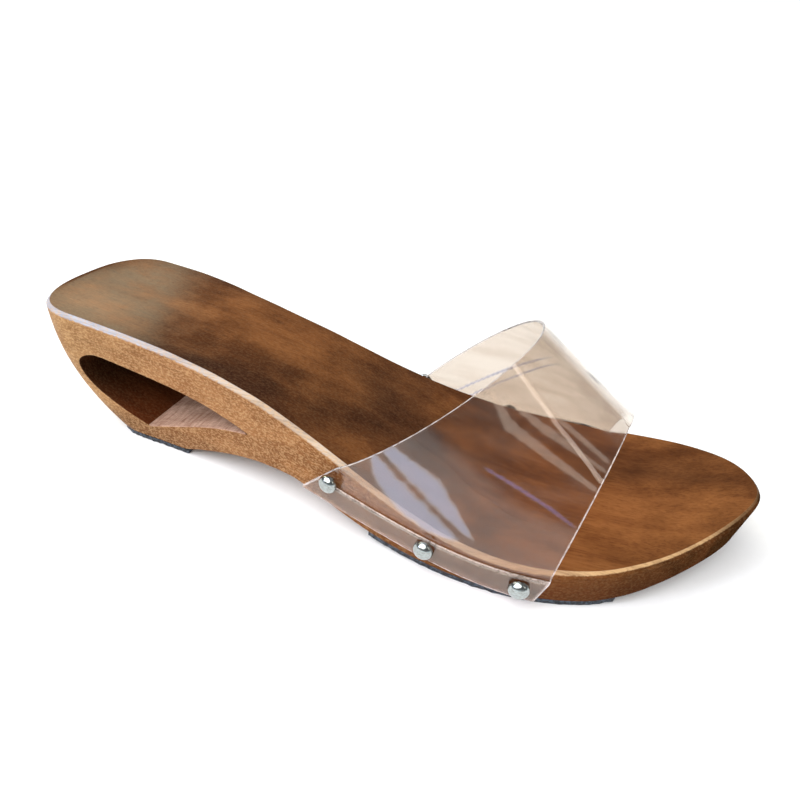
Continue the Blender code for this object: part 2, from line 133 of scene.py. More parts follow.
# %% A spline that bends evenly
def smooth_curve(places, values):
    """Return a natural cubic spline through the points; it takes one place or an array of them."""
    places, values = np.asarray(places, float), np.asarray(values, float)
    steps = np.diff(places)
    slopes = np.diff(values) / steps
    matrix = np.eye(len(places))
    right = np.zeros(len(places))
    for k in range(1, len(places) - 1):
        matrix[k, k - 1:k + 2] = steps[k - 1], 2 * (steps[k - 1] + steps[k]), steps[k]
        right[k] = 6 * (slopes[k] - slopes[k - 1])
    bends = np.linalg.solve(matrix, right)

    def curve(place):
        k = np.clip(np.searchsorted(places, place) - 1, 0, len(steps) - 1)
        a = (places[k + 1] - place) / steps[k]
        b = 1 - a
        cubic = ((a ** 3 - a) * bends[k] + (b ** 3 - b) * bends[k + 1]) * steps[k] ** 2 / 6
        return a * values[k] + b * values[k + 1] + cubic

    return curve


print("a spline through 0, 1 and 0 reads", smooth_curve([0, 1, 2], [0, 1, 0])(0.5), "on the way up")


# %% A curve that keeps flats flat
def steady_curve(places, values):
    """Return a curve through the points that never overshoots."""
    places, values = np.asarray(places, float), np.asarray(values, float)
    steps = np.diff(places)
    slopes = np.diff(values) / steps
    tangents = np.zeros(len(places))
    for k in range(1, len(places) - 1):
        if slopes[k - 1] * slopes[k] > 0:
            tangents[k] = 2 * slopes[k - 1] * slopes[k] / (slopes[k - 1] + slopes[k])
    tangents[-1] = slopes[-1]

    def curve(place):
        k = np.clip(np.searchsorted(places, place) - 1, 0, len(steps) - 1)
        u = np.clip((place - places[k]) / steps[k], 0, 1)
        rise, entry, leave = values[k + 1] - values[k], steps[k] * tangents[k], steps[k] * tangents[k + 1]
        return values[k] + u * (entry + u * (3 * rise - 2 * entry - leave + u * (entry + leave - 2 * rise)))

    return curve


print("a steady curve through 0, 0 and 1 reads", steady_curve([0, 1, 2], [0, 0, 1])(0.5), "on the flat")


# %% The sole's lines
def toe_measure(along):
    """Turn a place along the sole into a measure that runs round the toe evenly."""
    return np.sqrt(np.clip(1 - np.asarray(along, float), 0, 1))


along, lateral_shares, medial_shares, height_shares = np.array(SECTIONS).T
edge_curves = {
    "lateral": smooth_curve(toe_measure(along)[::-1], lateral_shares[::-1]),
    "medial": smooth_curve(toe_measure(along)[::-1], medial_shares[::-1]),
}
height_curve = smooth_curve(along, height_shares)
lift_curve = steady_curve(*np.array(UNDERSIDE).T)


def footbed_height(x):
    """Height of the footbed's rim; x runs from the heel to the toe."""
    return HEEL_HEIGHT * height_curve(x / LENGTH)


def underside_height(x):
    """Height of the wood's underside."""
    return RUBBER + GAP + HEEL_HEIGHT * lift_curve(x / LENGTH)


print("footbed height at the ball:", round(float(footbed_height(0.74 * LENGTH)) / MM, 1), "mm")


# %% The sole's wall
def heel_back(drop):
    """Place of the heel's back at a drop of 0 at the footbed to 1 at the tread."""
    return HEEL_RAKE * np.asarray(drop, float) ** HEEL_SWEEP


def toe_front(drop):
    """Place of the toe's front at the same drop."""
    return LENGTH - TOE_UNDERCUT * np.asarray(drop, float)


def side_edge(side, x, drop=0.0):
    """Sideways place of the sole's wall at x."""
    toe_share = np.clip((x / LENGTH - TOE_START) / (1 - TOE_START), 0, 1)
    y = BALL_WIDTH * edge_curves[side](toe_measure((x + (LENGTH - toe_front(drop)) * toe_share) / LENGTH))
    rounded = np.clip((x - heel_back(drop)) / HEEL_ROUND, 0, 1)
    fullness = (1 - (1 - rounded) ** HEEL_SQUARENESS) ** (1 / HEEL_SQUARENESS)
    return HEEL_MIDDLE + (y - HEEL_MIDDLE) * fullness


widest = min(side_edge("lateral", x) for x in np.linspace(0, LENGTH, 2001))
ASIDE = sole_low.y - widest
AHEAD = sole_low.x
print("the drawing is moved by", round(AHEAD / MM, 2), "and", round(ASIDE / MM, 2), "mm")

# %% [markdown]
# ## Helpers for meshes
#
# Most pieces here are skins stretched over a grid of points. One helper turns points and faces into an
# object, moves it from the drawing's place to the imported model's, and rides it on the only body, because
# nothing on this sandal moves by a joint.

# %% Make an object from points
SHARP = math.radians(38)
JOIN_WITHIN = 0.001 * MM


def make_object(name, points, faces):
    """Make an object, join its doubled points and turn its faces outward."""
    mesh = bpy.data.meshes.new(name)
    mesh.from_pydata(points, [], faces)
    edited = bmesh.new()
    edited.from_mesh(mesh)
    bmesh.ops.remove_doubles(edited, verts=edited.verts, dist=JOIN_WITHIN)
    bmesh.ops.dissolve_degenerate(edited, edges=edited.edges, dist=JOIN_WITHIN)
    bmesh.ops.recalc_face_normals(edited, faces=edited.faces)
    edited.to_mesh(mesh)
    edited.free()
    made = bpy.data.objects.new(name, mesh)
    bpy.context.scene.collection.objects.link(made)
    return made


def in_place(points):
    """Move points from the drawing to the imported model's place."""
    return [(x + AHEAD, y + ASIDE, z) for x, y, z in points]


def shade(mesh):
    """Shade a mesh smooth, apart from its sharp edges."""
    mesh.shade_smooth()
    mesh.set_sharp_from_angle(angle=SHARP)


def make_piece(name, points, faces, node):
    """Make a smooth-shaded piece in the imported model's place, riding on its body."""
    piece = make_object(name, in_place(points), faces)
    shade(piece.data)
    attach(piece, "root")
    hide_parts(node)
    return piece


def sheet_faces(rows, columns, closed=False):
    """Quads between rows of points; a closed sheet joins the last column to the first."""
    faces = []
    for a in range(0, (rows - 1) * columns, columns):
        for c in range(columns if closed else columns - 1):
            near = (c + 1) % columns
            faces.append((a + c, a + near, a + columns + near, a + columns + c))
    return faces


def double_sheet_faces(rows, columns):
    """Faces of two equal sheets of points, one after the other, sewn together along their borders."""
    count = rows * columns
    faces = sheet_faces(rows, columns)
    faces += [tuple(count + corner for corner in face) for face in faces]
    border = list(range(columns))
    border += [row * columns + columns - 1 for row in range(1, rows)]
    border += [(rows - 1) * columns + k for k in range(columns - 2, -1, -1)]
    border += [row * columns for row in range(rows - 2, 0, -1)]
    for a, b in zip(border, border[1:] + border[:1]):
        faces.append((a, count + a, count + b, b))
    return faces


def search_tree(spots):
    """A tree that finds the nearest of many spots."""
    tree = KDTree(len(spots))
    for k, spot in enumerate(spots):
        tree.insert(spot, k)
    tree.balance()
    return tree


print("a sheet of 3 by 4 points has", len(sheet_faces(3, 4)), "faces")

# %% [markdown]
# ## The block of wood
#
# The block could be sculpted, or cut from a box. A loft is closer to how a copy lathe works: it follows the
# outline at many heights, from the footbed's rim down the wall to the underside. The chamfer round the
# footbed is filed by hand, so its width wavers a little.

# %% Fineness of the block
STATIONS = 300
CHAMFER_ROWS = 5
WALL_ROWS = 26
FOOTBED_STRIPS = 40
UNDER_STRIPS = 16
CHAMFER_BULGE = 0.10
FILE_WAVER = 0.16
FILE_WAVE = 14 * MM


def outline(drop):
    """Points round the wall at one drop: out along the lateral side, back along the medial."""
    turn = np.pi * np.arange(STATIONS + 1) / STATIONS
    x = heel_back(drop) + (toe_front(drop) - heel_back(drop)) * (1 - np.cos(turn)) / 2
    lateral = np.stack([x, side_edge("lateral", x, drop)], 1)
    medial = np.stack([x, side_edge("medial", x, drop)], 1)[1:-1]
    return np.concatenate([lateral, medial[::-1]])


def left_of(loop):
    """Directions that stand square on a closed outline, to the left of its run."""
    run = np.roll(loop, -1, 0) - np.roll(loop, 1, 0)
    return np.stack([-run[:, 1], run[:, 0]], 1) / np.linalg.norm(run, axis=1, keepdims=True)


def inset(loop, distance):
    """Move the points of a closed outline inward."""
    return loop + left_of(loop) * np.reshape(distance, (-1, 1))


print("points round the wall:", len(outline(0.0)))


# %% Stretch the skin over the block
def block_rows():
    """Rows of points from the footbed's rim to the edge of the underside."""
    top = outline(0.0)
    waver = np.array([1 + FILE_WAVER * noise.noise(Vector((x, y, 0)) / FILE_WAVE) for x, y in top])
    rows = []
    for k in range(CHAMFER_ROWS):
        share = k / CHAMFER_ROWS
        bulge = CHAMFER_BULGE * math.sin(math.pi * share)
        loop = inset(top, CHAMFER * waver * (1 - share - bulge))
        rows.append(np.column_stack([loop, footbed_height(top[:, 0]) - CHAMFER * waver * share]))
    for k in range(WALL_ROWS + 1):
        drop = k / WALL_ROWS
        loop = outline(drop)
        high = footbed_height(loop[:, 0]) - CHAMFER * (waver * (1 - drop) + drop)
        low = underside_height(loop[:, 0]) + LOWER_EASE
        rows.append(np.column_stack([loop, high + (low - high) * drop]))
    foot = inset(outline(1.0), LOWER_EASE)
    rows.append(np.column_stack([foot, underside_height(foot[:, 0])]))
    return rows


def close_row(points, row, strips, dish):
    """Close a row with strips across it, hollowed by a dish, and return the faces."""
    lines = []
    for k in range(STATIONS + 1):
        left, right = row + k, row + (2 * STATIONS - k) % (2 * STATIONS)
        line = [left]
        for share in np.arange(1, strips) / strips:
            across = points[right] - points[left]
            hollow = dish * (1 - (2 * share - 1) ** 2) * np.linalg.norm(across) / BALL_WIDTH
            points.append(points[left] + across * share - np.array((0, 0, hollow)))
            line.append(len(points) - 1)
        lines.append(line + [right])
    faces = []
    for a, b in zip(lines, lines[1:]):
        for s in range(strips):
            faces.append((a[s], a[s + 1], b[s + 1], b[s]))
    return faces


rows = block_rows()
points = [point for row in rows for point in row]
faces = sheet_faces(len(rows), 2 * STATIONS, closed=True)
faces += close_row(points, 0, FOOTBED_STRIPS, FOOTBED_DISH)
faces += close_row(points, (len(rows) - 1) * 2 * STATIONS, UNDER_STRIPS, 0.0)
sole = make_piece("carved_sole", points, faces, "wooden_sole")
print("the block has", len(sole.data.polygons), "faces")

# %% [markdown]
# ## The cut-out through the heel
#
# A band saw has cut a rounded triangle right through the heel. Its roof and back are stained and dark, and
# its floor is bare, with the marks of a rasp. The cutter is a tube along Y. Where it passes the wall it
# flares by the radius of the softened edge, so the edge is real geometry that catches the light.

# %% The cut-out's two runs
CUTOUT_ROOF_AND_BACK = (
    # place along, height
    (0.365, 0.446),
    (0.300, 0.540),
    (0.205, 0.616),
    (0.135, 0.662),
    (0.094, 0.650),
    (0.079, 0.580),
    (0.086, 0.465),
    (0.115, 0.335),
    (0.150, 0.240),
    (0.187, 0.170),
)
CUTOUT_FLOOR = (
    # place along, height
    (0.187, 0.170),
    (0.255, 0.288),
    (0.305, 0.376),
    (0.365, 0.446),
)
ROOF_STEPS, FLOOR_STEPS = 150, 60
EDGE_RADIUS = 0.45 * MM
EDGE_CHIPS = 0.5
CHIP_SIZE = 2.5 * MM
FLARE_STEPS = 4
SAW_OVERSHOOT = 4 * MM
SAW_FROM, SAW_TO, SAW_RINGS = -21 * MM, 18 * MM, 60
SAW_RIPPLE = 0.12 * MM
RIPPLE_LENGTH, RIPPLE_PITCH = 9 * MM, 1.6 * MM


def run_points(run, steps):
    """Evenly spaced points on a smooth line through a run's knots."""
    knots = np.array(run) * (LENGTH, HEEL_HEIGHT)
    lengths = np.concatenate([[0], np.cumsum(np.linalg.norm(np.diff(knots, axis=0), axis=1))])
    places = lengths[-1] * np.arange(steps) / steps
    return np.column_stack([smooth_curve(lengths, values)(places) for values in knots.T])


def wall_drop(x, z):
    """Drop of a point of the wall, from 0 at the chamfer to 1 at the lower edge."""
    high, low = footbed_height(x) - CHAMFER, underside_height(x) + LOWER_EASE
    return np.clip((high - z) / (high - low), 0, 1)


roof_and_back = run_points(CUTOUT_ROOF_AND_BACK, ROOF_STEPS)
cut_line = np.concatenate([roof_and_back, run_points(CUTOUT_FLOOR, FLOOR_STEPS)])
cut_out = left_of(cut_line)
if np.sum(cut_out * (cut_line - cut_line.mean(0))) < 0:
    cut_out = -cut_out
print("the cut-out is", np.round(np.ptp(cut_line, axis=0) / MM, 1), "mm wide and high")


# %% Saw the cut-out
def outward(side):
    """Sign of y that points away from the sole on a side."""
    return -1.0 if side == "lateral" else 1.0


def flare_rings(side):
    """Rings of the cutter from outside one wall to just inside it."""
    out = outward(side)
    wall = side_edge(side, cut_line[:, 0], wall_drop(cut_line[:, 0], cut_line[:, 1]))
    chips = [noise.noise(Vector((x, out, z)) / CHIP_SIZE) for x, z in cut_line]
    radius = EDGE_RADIUS * (1 + EDGE_CHIPS * np.array(chips))
    rings = [(wall + out * SAW_OVERSHOOT, radius)]
    for k in range(FLARE_STEPS + 1):
        angle = math.pi / 2 * k / FLARE_STEPS
        rings.append((wall - out * radius * (1 - math.cos(angle)), radius * (1 - math.sin(angle))))
    return rings


def saw_rings():
    """Rings between the walls, with the ripple that the saw leaves."""
    rings = []
    for y in np.linspace(SAW_FROM, SAW_TO, SAW_RINGS):
        spots = [Vector((x / RIPPLE_LENGTH, y / RIPPLE_PITCH, z / RIPPLE_LENGTH)) for x, z in cut_line]
        ripple = np.array([noise.noise(spot) for spot in spots])
        rings.append((np.full(len(cut_line), y), SAW_RIPPLE * ripple))
    return rings


rings = flare_rings("lateral") + saw_rings() + flare_rings("medial")[::-1]
turns = len(cut_line)
points = []
for y, grown in rings:
    ring = cut_line + cut_out * grown[:, None]
    points += [(x, across, z) for (x, z), across in zip(ring, y)]
faces = [tuple(range(turns)), tuple(range(len(points) - 1, len(points) - 1 - turns, -1))]
faces += sheet_faces(len(rings), turns, closed=True)
cutter = make_object("heel_saw", in_place(points), faces)
saw = sole.modifiers.new("heel cut-out", "BOOLEAN")
saw.operation = "DIFFERENCE"
saw.solver = "EXACT"
saw.object = cutter
bpy.context.view_layer.update()
sawn = bpy.data.meshes.new_from_object(sole.evaluated_get(bpy.context.evaluated_depsgraph_get()))
sole.modifiers.clear()
sole.data = sawn
bpy.data.objects.remove(cutter)
shade(sawn)
print("the sawn block has", len(sole.data.polygons), "faces")

# %% [markdown]
# ## Where a point of the block lies
#
# The stain, the wear and some painted light follow the shape: the filed rim is rubbed back to pale wood and
# painted with a bluish reflection at the heel, the floor of the cut-out is raw, and the footbed is darker in
# patches. Shader nodes can't ask how far a point is from the rim, so each corner of the mesh gets a few
# numbers of its own, which the nodes read as attributes.

# %% Dark patches on the footbed, listed one by one
DARK_PATCHES = (
    # x, y, half length, half width, darkness; the places in mm from the box's middle
    (-96, -28, 14, 7, 0.50),
    (-76, -27, 14, 8, 0.90),
    (-58, -25, 16, 7, 0.90),
    (-36, -24, 20, 8, 0.75),
    (-88, 2, 12, 5, 0.20),
    (-30, -10, 24, 10, 0.40),
    (-8, 14, 18, 8, 0.35),
    (-6, -16, 11, 9, 0.45),
    (4, 2, 13, 22, 0.70),
    (18, -10, 14, 16, 0.50),
    (30, 20, 20, 10, 0.35),
    (104, 14, 30, 6, 0.50),
    (84, 14, 22, 14, 0.30),
    (102, 25, 24, 8, 0.40),
    (70, -30, 22, 7, 0.10),
)


def patch_darkness(place):
    """Darkness of the dark patches at a place of the footbed."""
    x, y = place[0] / MM, place[1] / MM
    x += 7 * noise.noise(Vector((x, y, 5)) / 16) + 2.5 * noise.noise(Vector((x, y, 9)) / 5)
    y += 5 * noise.noise(Vector((x, y, 7)) / 14) + 2 * noise.noise(Vector((y, x, 3)) / 5)
    clear = 1.0
    for pool_x, pool_y, half_length, half_width, darkness in DARK_PATCHES:
        away = ((x - pool_x) / half_length) ** 2 + ((y - pool_y) / half_width) ** 2
        clear *= 1 - darkness * math.exp(-away)
    return 1 - clear


print("stain pools:", len(DARK_PATCHES))

# %% Measure the block's points
mesh = sole.data
places = np.empty(len(mesh.vertices) * 3)
mesh.vertices.foreach_get("co", places)
places = places.reshape(-1, 3)
drawn = places - (AHEAD, ASIDE, 0)
corners_of = np.empty(len(mesh.loops), int)
mesh.loops.foreach_get("vertex_index", corners_of)
rim = search_tree([(x, y, 0) for x, y, z in rows[0]])
saw_line = search_tree([(x, z, 0) for x, z in cut_line])

DEEPEST_DISH = 1.2
ON_THE_RIM = 0.01 * MM
JUST_BELOW = 0.05
rim_distance = np.zeros(len(places))
saw_distance = np.zeros(len(places))
saw_place = np.zeros(len(places), int)
top_edge = outline(0.0)
top_inward = left_of(top_edge)
for k, (x, y, z) in enumerate(drawn):
    spot, near, away = rim.find((x, y, 0))
    inside = Vector(top_inward[near]).dot(Vector((x, y)) - spot.xy) > -ON_THE_RIM
    if inside and (float(footbed_height(x)) - z) / MM < DEEPEST_DISH:
        rim_distance[k] = -away / MM
    else:
        rim_distance[k] = max((float(footbed_height(top_edge[near, 0])) - z) / MM, JUST_BELOW)
    saw_place[k], saw_distance[k] = saw_line.find((x, z, 0))[1:]
print("points measured:", len(places))

# %% Store the measures as attributes
STAINED_CUT, RAW_CUT = 0.5, 1.0
EDGE_CATCH = EDGE_RADIUS * (1 + EDGE_CHIPS) * 0.9
CUT_CATCH = EDGE_RADIUS * 1.2
WALL_FACES = 0.93
HEEL_TIP, HEEL_TIP_DEPTH = 0.06 * LENGTH, 8
POOLS_END = 0.5


def store(mesh, name, domain, values):
    """Keep one number for each corner or point of a mesh."""
    stored = mesh.attributes.new(name, "FLOAT", domain)
    stored.data.foreach_set("value", np.asarray(values, float).astype(np.float32))


cut_corner = np.zeros(len(mesh.loops))
edge_corner = np.zeros(len(mesh.loops))
for face in mesh.polygons:
    spots = list(face.vertices)
    if abs(face.normal.y) > WALL_FACES or saw_distance[spots].max() > EDGE_CATCH:
        continue
    depth = rim_distance[spots].min()
    inside = saw_distance[spots].mean() < CUT_CATCH and 0 < depth
    if not inside or depth < HEEL_TIP_DEPTH and drawn[spots[0], 0] < HEEL_TIP:
        continue
    on_floor = saw_place[spots].min() >= ROOF_STEPS - 1
    for loop in face.loop_indices:
        cut_corner[loop] = RAW_CUT if on_floor else STAINED_CUT
        edge_corner[loop] = min(1.0, saw_distance[corners_of[loop]] / EDGE_RADIUS)
store(mesh, "cut_surface", "CORNER", cut_corner)
store(mesh, "cut_edge", "CORNER", edge_corner)
store(mesh, "rim_distance", "POINT", rim_distance)
darkness = [patch_darkness(spot) if away < POOLS_END else 0.0 for spot, away in zip(places, rim_distance)]
store(mesh, "patch_darkness", "POINT", darkness)
print("corners on the cut-out:", int((cut_corner > 0).sum()))

# %% [markdown]
# ## The treads
#
# Each tread is cut from a sheet with a knife, so its edge wavers, and it follows the curve of the wood. A
# grid of points lies along the underside, and its skins stand a sheet's thickness apart.

# %% Cut the rubber sheets
HEEL_TREAD_END = 64 * MM
FORE_TREAD_START = 143 * MM
FORE_TREAD_END = 231 * MM
FORE_TREAD_BOW = 10 * MM
KNIFE_WAVER = 0.35 * MM
KNIFE_WAVE = 2.2 * MM
KNIFE_REACH = 3 * MM
TREAD_INSET = 1.0 * MM
TREAD_ROWS, TREAD_COLUMNS = 48, 160


def cut_tread(name, node, start, end, bow):
    """A rubber sheet under the wood; the sides of its front edge fall back by the bow."""
    upper = []
    for share in np.linspace(0, 1, TREAD_ROWS + 1):
        front = end - bow * (2 * share - 1) ** 2
        for step in range(TREAD_COLUMNS + 1):
            x = start + (front - start) * (1 - math.cos(math.pi * step / TREAD_COLUMNS)) / 2
            lateral, medial = side_edge("lateral", x, 1.0), side_edge("medial", x, 1.0)
            margin = min(TREAD_INSET, (medial - lateral) / 3)
            lateral, medial = lateral + margin, medial - margin
            wide = max(medial - lateral, MM)
            y = lateral + (medial - lateral) * share
            away = min(1.0, min(share, 1 - share) * wide / KNIFE_REACH)
            waver = KNIFE_WAVER * noise.noise(Vector((x, share * 40 * MM, 0)) / KNIFE_WAVE) * (1 - away)
            y += waver * (1 if share > 0.5 else -1)
            upper.append((x, y, float(underside_height(x)) - GAP))
    lower = [(x, y, z - RUBBER) for x, y, z in upper]
    faces = double_sheet_faces(TREAD_ROWS + 1, TREAD_COLUMNS + 1)
    return make_piece(name, upper + lower, faces, node)


heel_tread = cut_tread("heel_tread", "heel_outsole", HEEL_RAKE, HEEL_TREAD_END, 0.0)
fore_tread = cut_tread(
    "forefoot_tread", "forefoot_outsole", FORE_TREAD_START, FORE_TREAD_END, FORE_TREAD_BOW)
print("treads have", len(heel_tread.data.polygons) + len(fore_tread.data.polygons), "faces")

# %% [markdown]
# ## The clear band
#
# The band is one strip of clear vinyl a millimetre thick. Both ends are folded in to a double hem, and the
# strip springs up into an arch. Cloth simulation would droop it too far, because vinyl this thick holds its
# own curve, so the sheet is laid along a section line that runs from the raw edge inside one hem, round the
# fold, over the arch and down to the other hem.

# %% Sizes of the band
BAND_WALL = 1.0 * MM
HEM_DEPTH = 8.5 * MM
FOLD_DROP = 0.6 * MM
CREST_BACK = 69 * MM
CREST_FRONT = 46 * MM
BAND_MIDDLE = -11 * MM
BAND_SIDES = {
    # side: fold_back, fold_front, edge_back, edge_front
    "lateral": (0.459, 0.766, 0.509, 0.778),
    "medial": (0.474, 0.815, 0.540, 0.829),
}
FOLD_HEIGHTS = (0.262, 0.076)
CREST_PLACES = (0.700, 0.822)
ARCH_SQUARENESS = {"lateral": (1.86, 2.13), "medial": (2.14, 1.47)}
HALF_SHEET = 0.45 * MM
BAND_COLUMNS = 130
HEM_STEPS = 16
ARCH_STEPS = 140
FOLD_STEPS = 10


def mix(pair, share):
    """Value between the two of a pair."""
    return pair[0] + (pair[1] - pair[0]) * share


def band_edges(side, t):
    """The fold and the crossing of the sole's rim at t, 0 at the band's back and 1 at its front."""
    fold_back, fold_front, edge_back, edge_front = BAND_SIDES[side]
    edge_x = LENGTH * mix((edge_back, edge_front), t)
    fold_z = HEEL_HEIGHT * mix(FOLD_HEIGHTS, t)
    return LENGTH * mix((fold_back, fold_front), t), fold_z, edge_x, float(footbed_height(edge_x)) - CHAMFER


def band_on_wall(side, t, height):
    """Inner point of the band at a height above its fold, against the wall."""
    fold_x, fold_z, edge_x, edge_z = band_edges(side, t)
    x = mix((fold_x, edge_x), height / (edge_z - fold_z))
    return np.array((x, float(side_edge(side, x)) + GAP * outward(side), fold_z + height))


def band_half(side, t, fineness=400):
    """Inner points of one half of a section, evenly spaced from the fold up to the crest."""
    lateral_x, medial_x = band_edges("lateral", t)[2], band_edges("medial", t)[2]
    edge_z = band_edges(side, t)[3]
    angle = np.linspace(0, math.pi / 2, fineness)
    across = angle if side == "lateral" else math.pi - angle
    bow = LENGTH * mix(CREST_PLACES, t) - (lateral_x + medial_x) / 2
    x = mix((lateral_x, medial_x), (1 - np.cos(across)) / 2) + bow * np.sin(across)
    power = 2 / mix(ARCH_SQUARENESS[side], t)
    wall = side_edge(side, x) + GAP * outward(side)
    y = mix((BAND_MIDDLE, wall), np.clip(np.cos(angle), 0, 1) ** power)
    z = mix((edge_z, mix((CREST_BACK, CREST_FRONT), t)), np.sin(angle) ** power)
    line = np.vstack([band_on_wall(side, t, 0.0), np.column_stack([x, y, z])])
    lengths = np.concatenate([[0], np.cumsum(np.linalg.norm(np.diff(line, axis=0), axis=1))])
    distances = np.concatenate([np.linspace(0, HEM_DEPTH, HEM_STEPS, endpoint=False),
                                np.linspace(HEM_DEPTH, lengths[-1], ARCH_STEPS + 1)])
    return np.column_stack([np.interp(distances, lengths, line[:, axis]) for axis in range(3)])


EDGE_EASE = 0.12 * MM
band_length = LENGTH * (CREST_PLACES[1] - CREST_PLACES[0])
first_step = EDGE_EASE / band_length
even_steps = np.linspace(0, 1, BAND_COLUMNS + 1)[1:-1]
shares = np.concatenate([[0, first_step], even_steps, [1 - first_step, 1]])
inner = np.array([np.vstack([band_half("lateral", t), band_half("medial", t)[-2::-1]]) for t in shares])
print("the band's inner face has", inner.shape[0], "by", inner.shape[1], "points")


# %% Lay the sheet round the folds and over the arch
def unit(vectors):
    """Vectors of length one."""
    return vectors / np.maximum(np.linalg.norm(vectors, axis=-1, keepdims=True), 1e-12)


def out_of(grid):
    """Directions that stand on a grid of points, pointing away from its middle."""
    out = unit(np.cross(np.gradient(grid, axis=1), np.gradient(grid, axis=0)))
    return out if np.sum(out * (grid - grid.mean(axis=1, keepdims=True))) > 0 else -out


def section_path():
    """Steps of the section: row of the inner face, distance out of it, and drop below its end."""
    half = BAND_WALL / 2
    hem = [(row, half, 0.0) for row in range(HEM_STEPS, 0, -1)]
    lift = BAND_WALL - FOLD_DROP - (BAND_WALL - 2 * HALF_SHEET) / 2
    for step in range(FOLD_STEPS + 1):
        angle = math.pi * step / FOLD_STEPS
        hem.append((0, BAND_WALL - half * math.cos(angle), half * math.sin(angle) - lift))
    hem += [(row, 3 * half, 0.0) for row in range(1, HEM_STEPS + 1)]
    return hem


inner_out = out_of(inner)
last_row = inner.shape[1] - 1
EASE_STEPS = 5
path = section_path()
arch = []
for row in range(HEM_STEPS + 1, last_row - HEM_STEPS):
    near = min(row - HEM_STEPS, last_row - HEM_STEPS - row) / EASE_STEPS
    ease = 1 - min(1.0, near) ** 2 * (3 - 2 * min(1.0, near))
    arch.append((row, BAND_WALL * (0.5 + ease), 0.0))
far_hem = [(last_row - row, distance, drop) for row, distance, drop in reversed(path)]
path = path + arch + far_hem
down = {0: unit(inner[:, 0] - inner[:, 2]), last_row: unit(inner[:, -1] - inner[:, -3])}
middle = np.empty((len(shares), len(path), 3))
for k, (row, distance, drop) in enumerate(path):
    middle[:, k] = inner[:, row] + inner_out[:, row] * distance
    if drop or row in down:
        middle[:, k] += down[0 if row < last_row / 2 else last_row] * drop
print("the section path has", len(path), "steps")

# %% Give the sheet its thickness
RAW_EASE = 0.6


def two_skins(grid, half):
    """Points on both sides of a grid, with eased cut edges."""
    out = unit(np.cross(np.gradient(grid, axis=1), np.gradient(grid, axis=0)))
    thick = np.full((*grid.shape[:2], 1), half)
    for edge in (thick[0], thick[-1], thick[:, 0], thick[:, -1]):
        edge *= RAW_EASE
    return np.vstack([(grid + out * thick).reshape(-1, 3), (grid - out * thick).reshape(-1, 3)])


band_faces = double_sheet_faces(*middle.shape[:2])
band = make_piece("vinyl_band", two_skins(middle, HALF_SHEET), band_faces, "clear_band")
print("the band has", len(band.data.polygons), "faces")

# %% [markdown]
# ## The nails
#
# Each nail is turned: a low dome with a thin upright rim. A profile spun round an axis gives just that, and
# the profile's small radii catch the bright line that a polished head shows.

# %% Turn the nails
NAIL_HEAD = 3.2 * MM
NAIL_DOME = 2.3 * MM
NAIL_RIM = 0.4 * MM
NAIL_SHANK = 0.9 * MM
NAIL_DEPTH = 9.5 * MM
NAIL_POINT = 2.0 * MM
NAIL_SIDES = 72
DOME_STEPS = 18
NAILS = (
    # along the hem, height in the hem
    (0.045, 0.95),
    (0.525, 0.45),
    (0.910, 0.50),
)


def nail_profile():
    """Profile of a nail from its point to the top of its dome; height 0 is the wood's wall."""
    seat = 2 * GAP + 2 * BAND_WALL
    ease = NAIL_RIM / 3
    profile = [(0.0, -NAIL_DEPTH), (NAIL_SHANK, NAIL_POINT - NAIL_DEPTH), (NAIL_SHANK, seat)]
    profile += [(NAIL_HEAD - ease, seat), (NAIL_HEAD, seat + ease)]
    for step in range(DOME_STEPS):
        angle = math.pi / 2 * step / DOME_STEPS
        profile.append((NAIL_HEAD * math.cos(angle), seat + NAIL_RIM + NAIL_DOME * math.sin(angle)))
    return profile + [(0.0, seat + NAIL_RIM + NAIL_DOME)]


def nail_place(side, share, height):
    """Frame of a nail: its origin on the wall, and its z axis pointing out of the wood."""
    x, y, z = band_on_wall(side, share, height * HEM_DEPTH)
    rise = float(side_edge(side, x + MM) - side_edge(side, x - MM))
    out = Vector((-rise, 2 * MM, 0.0)).normalized() * outward(side)
    up = Vector((0.0, 0.0, 1.0))
    rotation = Matrix((up.cross(out), up, out)).transposed()
    return Matrix.Translation((x, float(side_edge(side, x)), z)) @ rotation.to_4x4()


def turn_nail(side, number, share, height):
    """Spin the profile into a nail and drive it into its place."""
    driven = nail_place(side, share, height)
    profile = nail_profile()
    points = []
    for radius, rise in profile:
        for angle in np.linspace(0, 2 * math.pi, NAIL_SIDES, endpoint=False):
            spot = Vector((radius * math.cos(angle), radius * math.sin(angle), rise))
            points.append(tuple(driven @ spot))
    faces = sheet_faces(len(profile), NAIL_SIDES, closed=True)
    node = f"nail_{side}_{number}"
    return make_piece("domed_" + node, points, faces, node)


nails = [turn_nail(side, number, *spot) for side in BAND_SIDES for number, spot in enumerate(NAILS, 1)]
print("nails driven:", len(nails))

# %% [markdown]
# ## Materials
#
# Each finish is a small network of nodes. Patterns are laid out in object space, in millimetres, so they keep
# their size and run through the block as real grain does. Colours are picked as sRGB hex values and turned
# to linear, because shader sockets work in linear light.

# %% Helpers for nodes
def linear(hex_colour):
    """Turn an sRGB hex value into a linear colour."""
    parts = [int(hex_colour[k:k + 2], 16) / 255 for k in (1, 3, 5)]
    return tuple(p / 12.92 if p <= 0.04045 else ((p + 0.055) / 1.055) ** 2.4 for p in parts) + (1.0,)


DEFAULTS = {
    "Math": {"operation": "MULTIPLY"},
    "MapRange": {"interpolation_type": "SMOOTHSTEP"},
    "Mix": {"data_type": "RGBA"},
}


